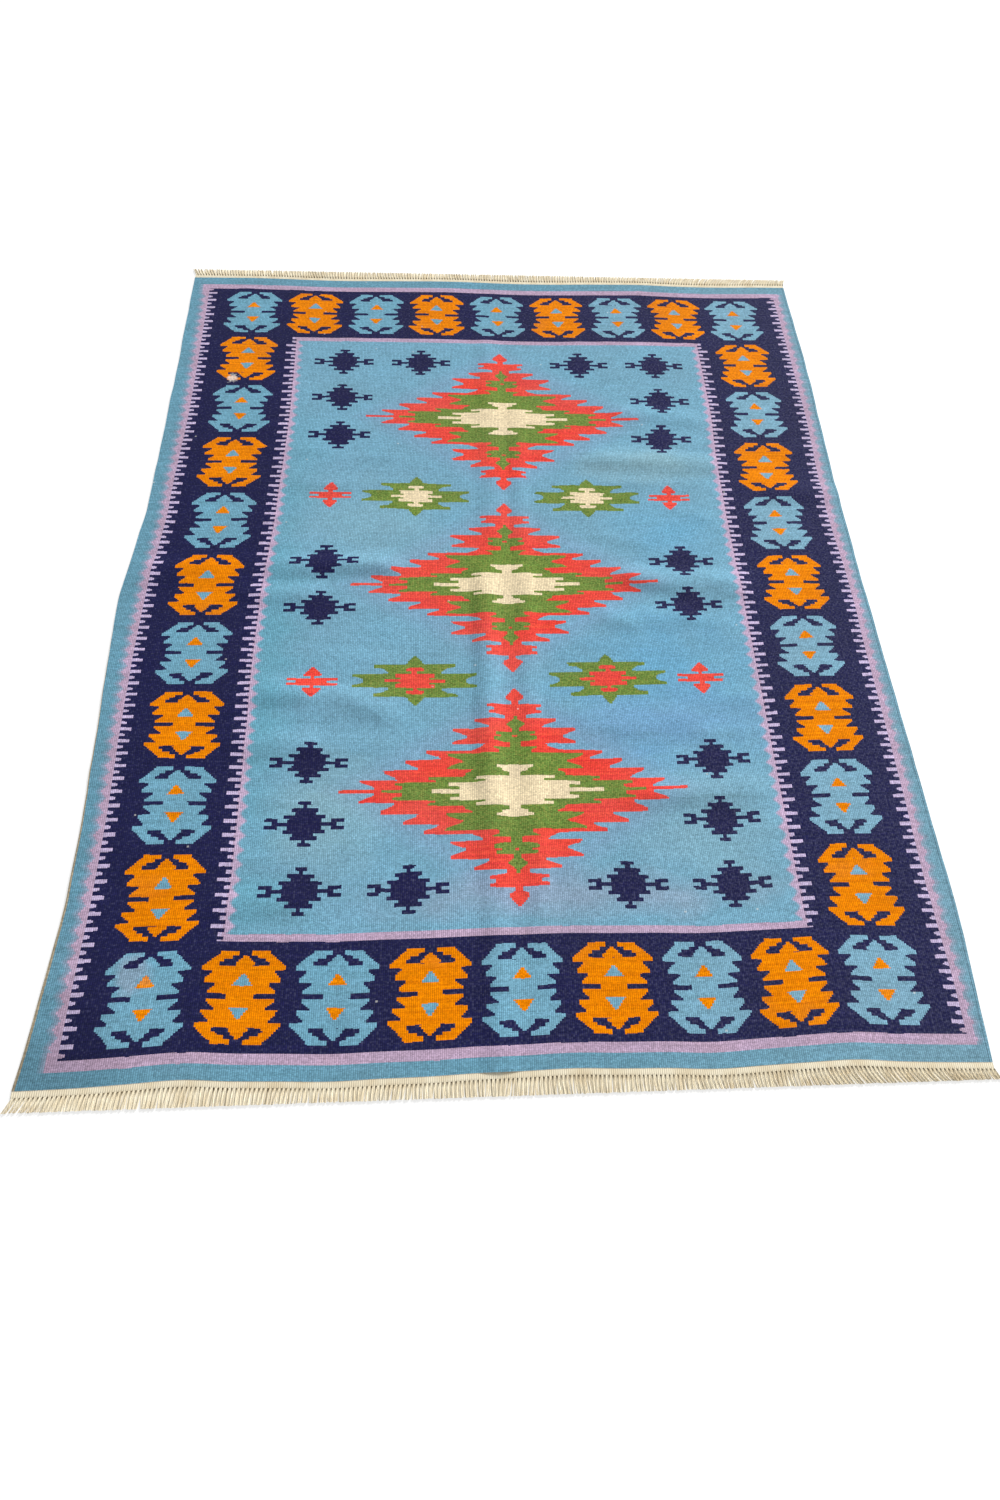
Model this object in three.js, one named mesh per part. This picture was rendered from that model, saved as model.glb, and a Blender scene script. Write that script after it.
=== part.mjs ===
// A flat-woven kilim rug lying on a floor: one woven cloth with soft creases in it,
// and at each end a cream heading strip with its warp ends left as a fringe.
// Millimetres, +Z up. X runs across the rug, Y along it, and Z = 0 is the floor.
// The origin lies on the floor under the middle of the rug's outline.

import * as THREE from 'three';
import { mergeVertices } from 'three/addons/utils/BufferGeometryUtils.js';

// Driving sizes.
const CLOTH_THICKNESS = 3;
const CLOTH_HALF_LENGTH = 1098;
const GAP = 0.3;
const HEADING_DEPTH = 13;
const HEADING_THICKNESS = 2.4;
const LOCKS_PER_END = 148;
const LOCK_ROOT_WIDTH = 7.4;
const LOCK_TIP_WIDTH = 5;
const TIP_LINE = 38;
const TIP_LINE_SPREAD = 2;
const LOCK_TIP_THICKNESS = 1.8;

// The two long selvedges, read across the rug at steps along it.
// The left one bows out beside the middle of the rug.
const SELVEDGES = [
  { y: -1112, left: -926, right: 894 },
  { y: -1042, left: -918, right: 898 },
  { y: -950, left: -911, right: 902 },
  { y: -860, left: -905, right: 907 },
  { y: -770, left: -899, right: 908 },
  { y: -680, left: -899, right: 906 },
  { y: -590, left: -901, right: 905 },
  { y: -500, left: -905, right: 904 },
  { y: -410, left: -908, right: 903 },
  { y: -320, left: -913, right: 901 },
  { y: -230, left: -917, right: 900 },
  { y: -140, left: -921, right: 899 },
  { y: -50, left: -923, right: 898 },
  { y: 40, left: -915, right: 896 },
  { y: 130, left: -908, right: 897 },
  { y: 220, left: -901, right: 895 },
  { y: 310, left: -900, right: 896 },
  { y: 400, left: -900, right: 898 },
  { y: 490, left: -899, right: 900 },
  { y: 580, left: -900, right: 901 },
  { y: 670, left: -899, right: 905 },
  { y: 860, left: -901, right: 904 },
  { y: 1112, left: -903, right: 902 },
];

// How far each woven end stands out past CLOTH_HALF_LENGTH, read across the rug.
const END_WAVES = [
  { x: -930, near: 3, far: 0 },
  { x: -810, near: 1, far: 2 },
  { x: -720, near: -3, far: 3 },
  { x: -630, near: -7, far: 1 },
  { x: -540, near: -2, far: -2 },
  { x: -450, near: 1, far: -3 },
  { x: -360, near: 4, far: -1 },
  { x: -270, near: 2, far: 1 },
  { x: -180, near: 1, far: 3 },
  { x: -90, near: -2, far: 2 },
  { x: 0, near: -3, far: -1 },
  { x: 90, near: -5, far: -3 },
  { x: 180, near: -2, far: -2 },
  { x: 270, near: 0, far: 1 },
  { x: 360, near: 4, far: 3 },
  { x: 450, near: 1, far: 4 },
  { x: 540, near: -2, far: 0 },
  { x: 630, near: -4, far: -2 },
  { x: 720, near: 2, far: -1 },
  { x: 810, near: 6, far: 2 },
  { x: 910, near: 9, far: 3 },
];

// The soft ridges that stand off the floor. Each has its middle at x, y, runs along
// its own line for reach to both sides, and falls to the floor at spread from that line.
// turn is the angle of the line from X in degrees.
const RIDGES = [
  { name: 'centre far', x: -30, y: 480, reach: 500, spread: 48, height: 3.5, turn: 90 },
  { name: 'centre middle', x: -52, y: -260, reach: 380, spread: 44, height: 7.5, turn: 90 },
  { name: 'centre near', x: -46, y: -830, reach: 380, spread: 46, height: 4.5, turn: 90 },
  { name: 'centre right', x: 44, y: -160, reach: 900, spread: 38, height: 3, turn: 90 },
  { name: 'left upper', x: -430, y: 45, reach: 190, spread: 46, height: 7, turn: 2 },
  { name: 'left lower', x: -545, y: -36, reach: 120, spread: 42, height: 4, turn: 2 },
  { name: 'left slanted', x: -420, y: -318, reach: 200, spread: 52, height: 6, turn: -9 },
  { name: 'left near', x: -520, y: -430, reach: 120, spread: 46, height: 3.5, turn: 0 },
  { name: 'right middle', x: 430, y: 0, reach: 210, spread: 50, height: 8, turn: -5 },
  { name: 'right lower', x: 330, y: -108, reach: 150, spread: 44, height: 3.5, turn: 4 },
  { name: 'right broad', x: 300, y: -391, reach: 190, spread: 60, height: 3.5, turn: 2 },
  { name: 'right near', x: 400, y: -553, reach: 200, spread: 50, height: 5.5, turn: 3 },
  { name: 'right far', x: 420, y: 385, reach: 230, spread: 54, height: 6, turn: -3 },
  { name: 'right border', x: 800, y: 281, reach: 130, spread: 48, height: 5, turn: 0 },
  { name: 'left border', x: -800, y: 30, reach: 140, spread: 60, height: 4, turn: 6 },
  { name: 'right farthest', x: 440, y: 552, reach: 160, spread: 44, height: 4.5, turn: -7 },
  { name: 'left nearest', x: -525, y: -776, reach: 110, spread: 44, height: 3.5, turn: 4 },
];

// Where the weave is divided, closer together where it is creased.
const ACROSS_STEPS = [
  { from: -1, to: -0.12, parts: 9 },
  { from: -0.12, to: 0.12, parts: 14 },
  { from: 0.12, to: 1, parts: 9 },
];
const ALONG_STEPS = [
  { from: -1098, to: -830, parts: 3 },
  { from: -830, to: -720, parts: 4 },
  { from: -720, to: -620, parts: 1 },
  { from: -620, to: -490, parts: 6 },
  { from: -490, to: -250, parts: 10 },
  { from: -250, to: -160, parts: 1 },
  { from: -160, to: 110, parts: 12 },
  { from: 110, to: 230, parts: 1 },
  { from: 230, to: 450, parts: 9 },
  { from: 450, to: 610, parts: 7 },
  { from: 610, to: 1098, parts: 5 },
];

// A smooth line through one column of a table, read anywhere along the key column.
function smoothLine(table, key, column) {
  const marks = table.map((row) => row[key]);
  const values = table.map((row) => row[column]);
  const line = new THREE.CubicInterpolant(marks, values, 1);
  return (at) => line.evaluate(at)[0];
}

const leftSelvedge = smoothLine(SELVEDGES, 'y', 'left');
const rightSelvedge = smoothLine(SELVEDGES, 'y', 'right');
const endWave = {
  near: smoothLine(END_WAVES, 'x', 'near'),
  far: smoothLine(END_WAVES, 'x', 'far'),
};

function divide(steps) {
  const marks = [steps[0].from];
  for (const { from, to, parts } of steps) {
    for (let i = 1; i <= parts; i += 1) marks.push(from + ((to - from) * i) / parts);
  }
  return marks;
}

function ridgeHeight(ridge, x, y) {
  const angle = THREE.MathUtils.degToRad(ridge.turn);
  const along = (x - ridge.x) * Math.cos(angle) + (y - ridge.y) * Math.sin(angle);
  const aside = (y - ridge.y) * Math.cos(angle) - (x - ridge.x) * Math.sin(angle);
  if (Math.abs(aside) >= ridge.spread || Math.abs(along) >= ridge.reach) return 0;
  const round = (1 - (aside / ridge.spread) ** 2) ** 2;
  const fade = THREE.MathUtils.smoothstep(ridge.reach - Math.abs(along), 0, ridge.reach * 0.45);
  return ridge.height * round * fade;
}

function liftAt(x, y) {
  return RIDGES.reduce((sum, ridge) => sum + ridgeHeight(ridge, x, y), 0);
}

// u runs from -1 at the left selvedge to 1 at the right one.
function acrossAt(u, y) {
  return THREE.MathUtils.lerp(leftSelvedge(y), rightSelvedge(y), (u + 1) / 2);
}

// The end waves move the cloth's points lengthwise and die out towards the middle.
function alongAt(x, y) {
  const wave = y < 0 ? endWave.near(x) : endWave.far(x);
  const share = THREE.MathUtils.smoothstep(Math.abs(y), 500, CLOTH_HALF_LENGTH);
  return y + Math.sign(y) * wave * share;
}

const columns = divide(ACROSS_STEPS);
const rows = divide(ALONG_STEPS);

function clothMesh() {
  const nx = columns.length - 1;
  const ny = rows.length - 1;
  const grid = new THREE.BoxGeometry(nx, ny, CLOTH_THICKNESS, nx, ny, 1);
  grid.translate(nx / 2, ny / 2, CLOTH_THICKNESS / 2);
  grid.deleteAttribute('normal');
  grid.deleteAttribute('uv');
  const geometry = mergeVertices(grid, 0.001);
  const points = geometry.attributes.position;
  for (let i = 0; i < points.count; i += 1) {
    const u = columns[Math.round(points.getX(i))];
    const v = rows[Math.round(points.getY(i))];
    const x = acrossAt(u, v);
    points.setXYZ(i, x, alongAt(x, v), points.getZ(i) + liftAt(x, v));
  }
  geometry.computeVertexNormals();
  const wool = new THREE.MeshStandardMaterial({ color: 0x5f9fc4, roughness: 0.95, metalness: 0 });
  const mesh = new THREE.Mesh(geometry, wool);
  mesh.name = 'rug_cloth';
  return mesh;
}

// A repeatable unevenness between -1 and 1, different for each lock.
function uneven(i, phase) {
  return 0.6 * Math.sin(i * 2.4 + phase) + 0.4 * Math.sin(i * 0.93 + 1.7 * phase);
}

// side is -1 for the near end and 1 for the far end. The locks are trimmed to a nearly
// straight line, TIP_LINE past CLOTH_HALF_LENGTH.
function fringeMesh(name, side) {
  const wave = side < 0 ? endWave.near : endWave.far;
  const edge = side * CLOTH_HALF_LENGTH;
  const inner = (x) => edge + side * (wave(x) + GAP);
  const outer = (x) => inner(x) + side * HEADING_DEPTH;
  const outline = new THREE.Shape();
  const heading = columns.map((u) => acrossAt(u, edge));
  heading.forEach((x, i) => (i ? outline.lineTo(x, inner(x)) : outline.moveTo(x, inner(x))));

  const right = acrossAt(1, edge);
  const left = acrossAt(-1, edge);
  const pitch = (right - left) / LOCKS_PER_END;
  const tips = new Set();
  for (let i = 0; i < LOCKS_PER_END; i += 1) {
    const middle = right - pitch * (i + 0.5);
    const lean = 3 + 2.4 * Math.sin(i * 0.11 + side) + 0.9 * uneven(i, 2);
    const tip = edge + side * (TIP_LINE + TIP_LINE_SPREAD * uneven(i, side) * 0.5);
    const rootHalf = LOCK_ROOT_WIDTH / 2;
    const tipHalf = LOCK_TIP_WIDTH / 2;
    if (i === 0) outline.lineTo(right, outer(right));
    outline.lineTo(middle + rootHalf, outer(middle + rootHalf));
    outline.lineTo(middle + tipHalf + lean, tip);
    outline.lineTo(middle - tipHalf + lean, tip);
    outline.lineTo(middle - rootHalf, outer(middle - rootHalf));
    tips.add(tip.toFixed(3));
  }
  outline.lineTo(left, outer(left));
  outline.closePath();

  const flat = new THREE.ExtrudeGeometry(outline, { depth: HEADING_THICKNESS, bevelEnabled: false });
  flat.deleteAttribute('normal');
  flat.deleteAttribute('uv');
  const geometry = mergeVertices(flat, 0.001);
  const points = geometry.attributes.position;
  for (let i = 0; i < points.count; i += 1) {
    const isTip = tips.has(points.getY(i).toFixed(3));
    if (isTip && points.getZ(i) > 0) points.setZ(i, LOCK_TIP_THICKNESS);
  }
  geometry.computeVertexNormals();
  const cotton = new THREE.MeshStandardMaterial({ color: 0xe6dcc0, roughness: 0.9, metalness: 0 });
  const mesh = new THREE.Mesh(geometry, cotton);
  mesh.name = name;
  return mesh;
}

const rug = new THREE.Group();
rug.add(clothMesh());
rug.add(fringeMesh('fringe_near', -1));
rug.add(fringeMesh('fringe_far', 1));

// The tables above are read from the middle of the woven design. The rug is then
// moved so that the middle of its whole outline lies over the origin.
const outlineMiddle = new THREE.Box3().setFromObject(rug).getCenter(new THREE.Vector3());
rug.position.set(-outlineMiddle.x, -outlineMiddle.y, 0);

export default rug;
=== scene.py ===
import bpy
import math
from mathutils import Matrix, Vector, noise


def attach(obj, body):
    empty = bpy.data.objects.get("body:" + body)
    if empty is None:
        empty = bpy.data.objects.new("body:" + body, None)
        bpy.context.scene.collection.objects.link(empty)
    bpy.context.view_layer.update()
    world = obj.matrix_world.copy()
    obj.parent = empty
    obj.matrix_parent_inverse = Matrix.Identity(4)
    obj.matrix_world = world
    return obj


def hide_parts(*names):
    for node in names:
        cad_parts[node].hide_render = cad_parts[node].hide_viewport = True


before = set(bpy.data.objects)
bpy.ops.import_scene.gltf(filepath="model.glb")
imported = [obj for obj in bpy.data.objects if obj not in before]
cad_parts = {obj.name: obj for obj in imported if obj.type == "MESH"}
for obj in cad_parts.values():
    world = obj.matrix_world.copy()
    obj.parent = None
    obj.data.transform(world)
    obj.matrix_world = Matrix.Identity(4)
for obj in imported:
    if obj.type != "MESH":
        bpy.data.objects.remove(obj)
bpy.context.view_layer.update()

# Camera
# The rug is seen from standing height just behind its near end, looking steeply down
# along it. The picture is turned and rolled a little, as one that is held by hand.
EYE = Vector((-0.08984, -1.03045, 1.4118))
LOOK_DOWN = math.radians(67.47)
LOOK_RIGHT = math.radians(6.80)
LEAN = math.radians(5.60)
# The focal length is given as a share of the picture's long side.
FOCAL_SHARE = 690 / 1500
SENSOR_WIDTH = 36

camera_data = bpy.data.cameras.new("camera")
camera_data.sensor_width = SENSOR_WIDTH
camera_data.lens = SENSOR_WIDTH * FOCAL_SHARE
camera_data.clip_end = 60
camera = bpy.data.objects.new("camera", camera_data)
bpy.context.scene.collection.objects.link(camera)
forward = Vector((math.sin(LOOK_RIGHT) * math.cos(LOOK_DOWN),
                  math.cos(LOOK_RIGHT) * math.cos(LOOK_DOWN), -math.sin(LOOK_DOWN)))
level_right = Vector((math.cos(LOOK_RIGHT), -math.sin(LOOK_RIGHT), 0))
level_up = level_right.cross(forward)
cam_right = level_right * math.cos(LEAN) + level_up * math.sin(LEAN)
cam_up = level_up * math.cos(LEAN) - level_right * math.sin(LEAN)
turned = Matrix((cam_right, cam_up, -forward)).transposed().to_4x4()
camera.matrix_world = Matrix.Translation(EYE) @ turned
bpy.context.scene.camera = camera

# Floor and light
# A plain pale studio floor lit a little from within, and an even pale surround. One broad
# lamp low in the far right corner shows the creases, a weaker warm one lights the right.
FLOOR_GREY = (0.42, 0.42, 0.42, 1)
FLOOR_LIGHT = (1, 1, 1, 1)
FLOOR_DROP = 0.0006
SURROUND_COLOUR = (0.97, 0.985, 1.0, 1)

bpy.ops.object.select_all(action="DESELECT")
bpy.ops.mesh.primitive_plane_add(size=14, location=(0, 0, -FLOOR_DROP))
floor = bpy.context.active_object
floor.name = "studio_floor"
floor_paint = bpy.data.materials.new("floor_paint")
floor_paint.use_nodes = True
floor_shader = floor_paint.node_tree.nodes["Principled BSDF"]
floor_shader.inputs["Base Color"].default_value = FLOOR_GREY
floor_shader.inputs["Emission Color"].default_value = FLOOR_LIGHT
floor_shader.inputs["Emission Strength"].default_value = 0.62
floor_shader.inputs["Roughness"].default_value = 0.85
floor.data.materials.append(floor_paint)

surround = bpy.data.worlds.new("surround")
surround.use_nodes = True
surround_shader = surround.node_tree.nodes["Background"]
surround_shader.inputs["Color"].default_value = SURROUND_COLOUR
surround_shader.inputs["Strength"].default_value = 0.44
bpy.context.scene.world = surround


def hang_lamp(name, kind, energy, colour, place):
    # A lamp at its place, turned towards the middle of the rug.
    lamp = bpy.data.lights.new(name, kind)
    lamp.energy = energy
    lamp.color = colour
    stand = bpy.data.objects.new(name, lamp)
    stand.location = place
    stand.rotation_euler = (-stand.location).to_track_quat("-Z", "Y").to_euler()
    bpy.context.scene.collection.objects.link(stand)
    return lamp


day_lamp = hang_lamp("day_lamp", "SUN", energy=4.85, colour=(1.0, 0.99, 0.965), place=(2.5, 3.3, 1.9))
day_lamp.angle = math.radians(20)
side_lamp = hang_lamp("side_lamp", "AREA", energy=15, colour=(1.0, 0.96, 0.88), place=(2.4, 0.2, 1.8))
side_lamp.size = 1.2
bpy.context.scene.view_settings.view_transform = "Standard"

# Rug cloth
# One weft-faced cloth, woven in a single piece: dyed wool wefts packed over cotton warps
# make its stepped pattern, the same on both faces. It lies loose on the floor, flat but
# for the soft creases left by its folding.
# Sizes and places on it are in millimetres from the middle of the pattern.
MM_PER_METRE = 1000
CLOTH_THICKNESS = 3
CLOTH_HALF_LENGTH = 1098
# The middle of the cloth's outline, which is the origin of the shared frame.
OUTLINE_MIDDLE = (-8.157, -0.05)
# Where the selvedges run, and how far the ends wave outwards past an even line. The
# waves die out towards the middle.
SELVEDGES = {
    "y": (-1112, -1042, -950, -860, -770, -680, -590, -500, -410, -320, -230, -140, -50,
          40, 130, 220, 310, 400, 490, 580, 670, 860, 1112),
    "left": (-926, -918, -911, -905, -899, -899, -901, -905, -908, -913, -917, -921, -923,
             -915, -908, -901, -900, -900, -899, -900, -899, -901, -903),
    "right": (894, 898, 902, 907, 908, 906, 905, 904, 903, 901, 900, 899, 898,
              896, 897, 895, 896, 898, 900, 901, 905, 904, 902),
}
END_WAVES = {
    "x": (-930, -810, -720, -630, -540, -450, -360, -270, -180, -90, 0,
          90, 180, 270, 360, 450, 540, 630, 720, 810, 910),
    "near": (3, 1, -3, -7, -2, 1, 4, 2, 1, -2, -3, -5, -2, 0, 4, 1, -2, -4, 2, 6, 9),
    "far": (0, 2, 3, 1, -2, -3, -1, 1, 3, 2, -1, -3, -2, 1, 3, 4, 0, -2, -1, 2, 3),
}
END_WAVES_FROM = 500
# Creases: middle, half length, half width and height, and how far each is turned.
RIDGES = (
    {"x": -30, "y": 480, "reach": 500, "spread": 48, "height": 3.5, "turn": 90},
    {"x": -52, "y": -260, "reach": 380, "spread": 44, "height": 7.5, "turn": 90},
    {"x": -46, "y": -830, "reach": 380, "spread": 46, "height": 4.5, "turn": 90},
    {"x": 44, "y": -160, "reach": 900, "spread": 38, "height": 3, "turn": 90},
    {"x": -430, "y": 45, "reach": 190, "spread": 46, "height": 7, "turn": 2},
    {"x": -545, "y": -36, "reach": 120, "spread": 42, "height": 4, "turn": 2},
    {"x": -420, "y": -318, "reach": 200, "spread": 52, "height": 6, "turn": -9},
    {"x": -520, "y": -430, "reach": 120, "spread": 46, "height": 3.5, "turn": 0},
    {"x": 430, "y": 0, "reach": 210, "spread": 50, "height": 8, "turn": -5},
    {"x": 330, "y": -108, "reach": 150, "spread": 44, "height": 3.5, "turn": 4},
    {"x": 300, "y": -391, "reach": 190, "spread": 60, "height": 3.5, "turn": 2},
    {"x": 400, "y": -553, "reach": 200, "spread": 50, "height": 5.5, "turn": 3},
    {"x": 420, "y": 385, "reach": 230, "spread": 54, "height": 6, "turn": -3},
    {"x": 800, "y": 281, "reach": 130, "spread": 48, "height": 5, "turn": 0},
    {"x": -800, "y": 30, "reach": 140, "spread": 60, "height": 4, "turn": 6},
    {"x": 440, "y": 552, "reach": 160, "spread": 44, "height": 4.5, "turn": -7},
    {"x": -525, "y": -776, "reach": 110, "spread": 44, "height": 3.5, "turn": 4},
)
# Finer ripples that run into the creases. All of them fade out towards their tips.
FADE_SHARE = 0.45
RIPPLES = (
    {"x": 300, "y": 388, "reach": 170, "spread": 30, "height": 1.8, "turn": 0},
    {"x": 400, "y": 310, "reach": 190, "spread": 34, "height": 1.8, "turn": -2},
    {"x": 520, "y": 452, "reach": 120, "spread": 30, "height": 1.4, "turn": -8},
    {"x": 470, "y": 215, "reach": 90, "spread": 28, "height": 1.8, "turn": -15},
    {"x": 290, "y": 126, "reach": 90, "spread": 28, "height": 1.6, "turn": -10},
    {"x": 210, "y": 84, "reach": 70, "spread": 24, "height": 1.2, "turn": -20},
    {"x": 385, "y": -16, "reach": 120, "spread": 34, "height": 3.2, "turn": -18},
    {"x": 510, "y": -52, "reach": 70, "spread": 24, "height": 1.4, "turn": 8},
    {"x": 270, "y": -118, "reach": 70, "spread": 26, "height": 1.8, "turn": -28},
    {"x": 495, "y": -124, "reach": 90, "spread": 28, "height": 1.6, "turn": -8},
    {"x": 500, "y": -411, "reach": 100, "spread": 24, "height": 1.8, "turn": 3},
    {"x": 270, "y": -400, "reach": 90, "spread": 26, "height": 1.3, "turn": 0},
    {"x": 500, "y": -330, "reach": 110, "spread": 30, "height": 1.0, "turn": 4},
    {"x": 340, "y": -558, "reach": 90, "spread": 28, "height": 1.6, "turn": -4},
    {"x": 560, "y": -640, "reach": 100, "spread": 26, "height": 1.0, "turn": 4},
    {"x": -350, "y": 396, "reach": 100, "spread": 26, "height": 1.4, "turn": 4},
    {"x": -420, "y": 298, "reach": 170, "spread": 32, "height": 1.6, "turn": 0},
    {"x": -560, "y": 420, "reach": 110, "spread": 30, "height": 1.1, "turn": 2},
    {"x": -340, "y": 44, "reach": 110, "spread": 30, "height": 3.2, "turn": -3},
    {"x": -540, "y": -44, "reach": 80, "spread": 30, "height": 1.8, "turn": 4},
    {"x": -330, "y": -76, "reach": 120, "spread": 26, "height": 1.0, "turn": 6},
    {"x": -360, "y": -212, "reach": 90, "spread": 26, "height": 1.4, "turn": -10},
    {"x": -520, "y": -316, "reach": 90, "spread": 30, "height": 1.9, "turn": 2},
    {"x": -335, "y": -338, "reach": 100, "spread": 30, "height": 1.8, "turn": -26},
    {"x": -370, "y": -366, "reach": 150, "spread": 28, "height": 1.7, "turn": -4},
    {"x": -390, "y": -436, "reach": 150, "spread": 30, "height": 1.6, "turn": 2},
    {"x": -540, "y": -560, "reach": 110, "spread": 28, "height": 1.2, "turn": 0},
    {"x": -530, "y": -690, "reach": 90, "spread": 26, "height": 1.2, "turn": -10},
    {"x": -800, "y": -420, "reach": 100, "spread": 34, "height": 1.5, "turn": 0},
    {"x": -790, "y": 44, "reach": 130, "spread": 28, "height": 1.8, "turn": 4},
    {"x": -805, "y": 330, "reach": 100, "spread": 34, "height": 1.5, "turn": 4},
    {"x": 810, "y": -90, "reach": 100, "spread": 34, "height": 1.5, "turn": -3},
    {"x": 800, "y": 430, "reach": 100, "spread": 30, "height": 1.5, "turn": 0},
    {"x": 250, "y": -960, "reach": 110, "spread": 30, "height": 1.3, "turn": 82},
    {"x": -330, "y": -965, "reach": 110, "spread": 34, "height": 1.5, "turn": 95},
)
# How far the weaver's pattern has drifted from its even layout, across and along, in
# millimetres. Each line runs lengthwise at its own distance from the middle.
DRIFT_ROWS = (-1100, -945, -761, -562, -378, -285, -194, -7, 191, 285, 380, 571, 1100)
DRIFT_ACROSS = {
    -720: (1, 2, 6, 3, -4, -6, -8, -5, 7, 7, 9, 12, 2),
    -590: (3, 3, 7, 4, 0, -3, -5, -2, 8, 9, 12, 14, 2),
    0: (1, 2, 2, 0, 8, 7, 6, 2, 0, 2, 3, 7, 0),
    590: (-2, -1, -4, -4, -4, -4, -4, -5, -7, -6, -6, 4, 0),
    720: (-3, -1, -5, -2, -1, -1, -1, 1, -7, -7, -4, 4, 0),
}
DRIFT_ALONG = {
    -720: (-3, -1, -2, 8, 1, -5, -8, -12, -4, -2, -4, -4, 0),
    -450: (-3, -2, -3, 0, -4, -4, -7, -10, -5, -5, -1, 1, 0),
    0: (-4, -3, -2, -2, -6, -6, 0, -11, -12, -8, -7, -6, 0),
    450: (-2, -2, -4, -2, -5, 1, 0, -7, -11, -11, -11, -4, 0),
    720: (0, 2, -2, 4, 2, 4, 4, -4, -9, -9, -11, -6, 0),
}


def smooth_line(marks, values):
    # A smooth line through the values, level with its neighbours' slope at each mark.
    def slope(i):
        low, high = max(i - 1, 0), min(i + 1, len(marks) - 1)
        return (values[high] - values[low]) / (marks[high] - marks[low])

    def read(at):
        at = min(max(at, marks[0]), marks[-1])
        i = max(k for k in range(len(marks) - 1) if marks[k] <= at)
        span = marks[i + 1] - marks[i]
        t = (at - marks[i]) / span
        start = (1 + 2 * t) * (1 - t) ** 2 * values[i] + t * (1 - t) ** 2 * span * slope(i)
        end = t * t * (3 - 2 * t) * values[i + 1] - t * t * (1 - t) * span * slope(i + 1)
        return start + end

    return read


def ease(low, high, at):
    t = min(max((at - low) / (high - low), 0), 1)
    return t * t * (3 - 2 * t)


left_selvedge = smooth_line(SELVEDGES["y"], SELVEDGES["left"])
right_selvedge = smooth_line(SELVEDGES["y"], SELVEDGES["right"])
near_wave = smooth_line(END_WAVES["x"], END_WAVES["near"])
far_wave = smooth_line(END_WAVES["x"], END_WAVES["far"])
drift_across = {x: smooth_line(DRIFT_ROWS, line) for x, line in DRIFT_ACROSS.items()}
drift_along = {x: smooth_line(DRIFT_ROWS, line) for x, line in DRIFT_ALONG.items()}


def across_at(u, y):
    return left_selvedge(y) + (right_selvedge(y) - left_selvedge(y)) * (u + 1) / 2


def along_at(x, y):
    outwards = -near_wave(x) if y < 0 else far_wave(x)
    return y + outwards * ease(END_WAVES_FROM, CLOTH_HALF_LENGTH, abs(y))


def ridge_height(ridge, x, y):
    angle = math.radians(ridge["turn"])
    along = (x - ridge["x"]) * math.cos(angle) + (y - ridge["y"]) * math.sin(angle)
    aside = (y - ridge["y"]) * math.cos(angle) - (x - ridge["x"]) * math.sin(angle)
    if abs(aside) >= ridge["spread"] or abs(along) >= ridge["reach"]:
        return 0
    crown = (1 - (aside / ridge["spread"]) ** 2) ** 2
    return ridge["height"] * crown * ease(0, ridge["reach"] * FADE_SHARE, ridge["reach"] - abs(along))


def lift_at(x, y):
    return sum(ridge_height(ridge, x, y) for ridge in RIDGES + RIPPLES)


def drift_at(x, y, lines):
    return smooth_line(tuple(lines), [line(y) for line in lines.values()])(x)


def to_frame(x, y, z):
    # From millimetres about the middle of the pattern to metres in the shared frame.
    place = (x - OUTLINE_MIDDLE[0], y - OUTLINE_MIDDLE[1], z)
    return tuple(c / MM_PER_METRE for c in place)


def bumps(x, y, wide, long, seed):
    return noise.noise(Vector((x / wide, y / long, seed)))


# The grid is finer over the middle, where the longest creases run.
ACROSS_PARTS = (
    {"from": -1, "to": -0.13, "parts": 58},
    {"from": -0.13, "to": 0.13, "parts": 44},
    {"from": 0.13, "to": 1, "parts": 58},
)
ALONG_PARTS = 216
COCKLE_HEIGHT = 1.3
FLAT_END = 60
EDGE_WAVER = 1.2
columns = [-1.0]
for strip in ACROSS_PARTS:
    step = (strip["to"] - strip["from"]) / strip["parts"]
    columns += [strip["from"] + step * (i + 1) for i in range(strip["parts"])]
rows = [CLOTH_HALF_LENGTH * (2 * i / ALONG_PARTS - 1) for i in range(ALONG_PARTS + 1)]

bpy.ops.object.select_all(action="DESELECT")
bpy.ops.mesh.primitive_grid_add(x_subdivisions=len(columns) - 1, y_subdivisions=ALONG_PARTS, size=2)
cloth = bpy.context.active_object
cloth.name = "woven_cloth"
weave_places = {}
edge_places = {}
for vertex in cloth.data.vertices:
    column = round((vertex.co.x + 1) / 2 * (len(columns) - 1))
    row = round((vertex.co.y + 1) / 2 * ALONG_PARTS)
    u, flat_y = columns[column], rows[row]
    x = across_at(u, flat_y)
    # Small cockles keep the cloth from lying dead flat between the creases.
    cockle = bumps(x, flat_y, 95, 70, 3.1) + 0.5 * bumps(x, flat_y, 40, 36, 8.7)
    end_fade = ease(0, FLAT_END, CLOTH_HALF_LENGTH - abs(flat_y))
    lift = lift_at(x, flat_y) + max(cockle, 0) * COCKLE_HEIGHT * end_fade
    waver = EDGE_WAVER * bumps(u, flat_y, 1 / 3, 55, 5.5) * ease(0.93, 1, abs(u))
    weave_places[vertex.index] = ((x - drift_at(x, flat_y, drift_across)) / MM_PER_METRE,
                                  (flat_y - drift_at(x, flat_y, drift_along)) / MM_PER_METRE)
    edge_places[vertex.index] = ((u + 1) / 2, (flat_y / CLOTH_HALF_LENGTH + 1) / 2)
    vertex.co = to_frame(x + waver, along_at(x, flat_y), lift + CLOTH_THICKNESS)

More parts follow.
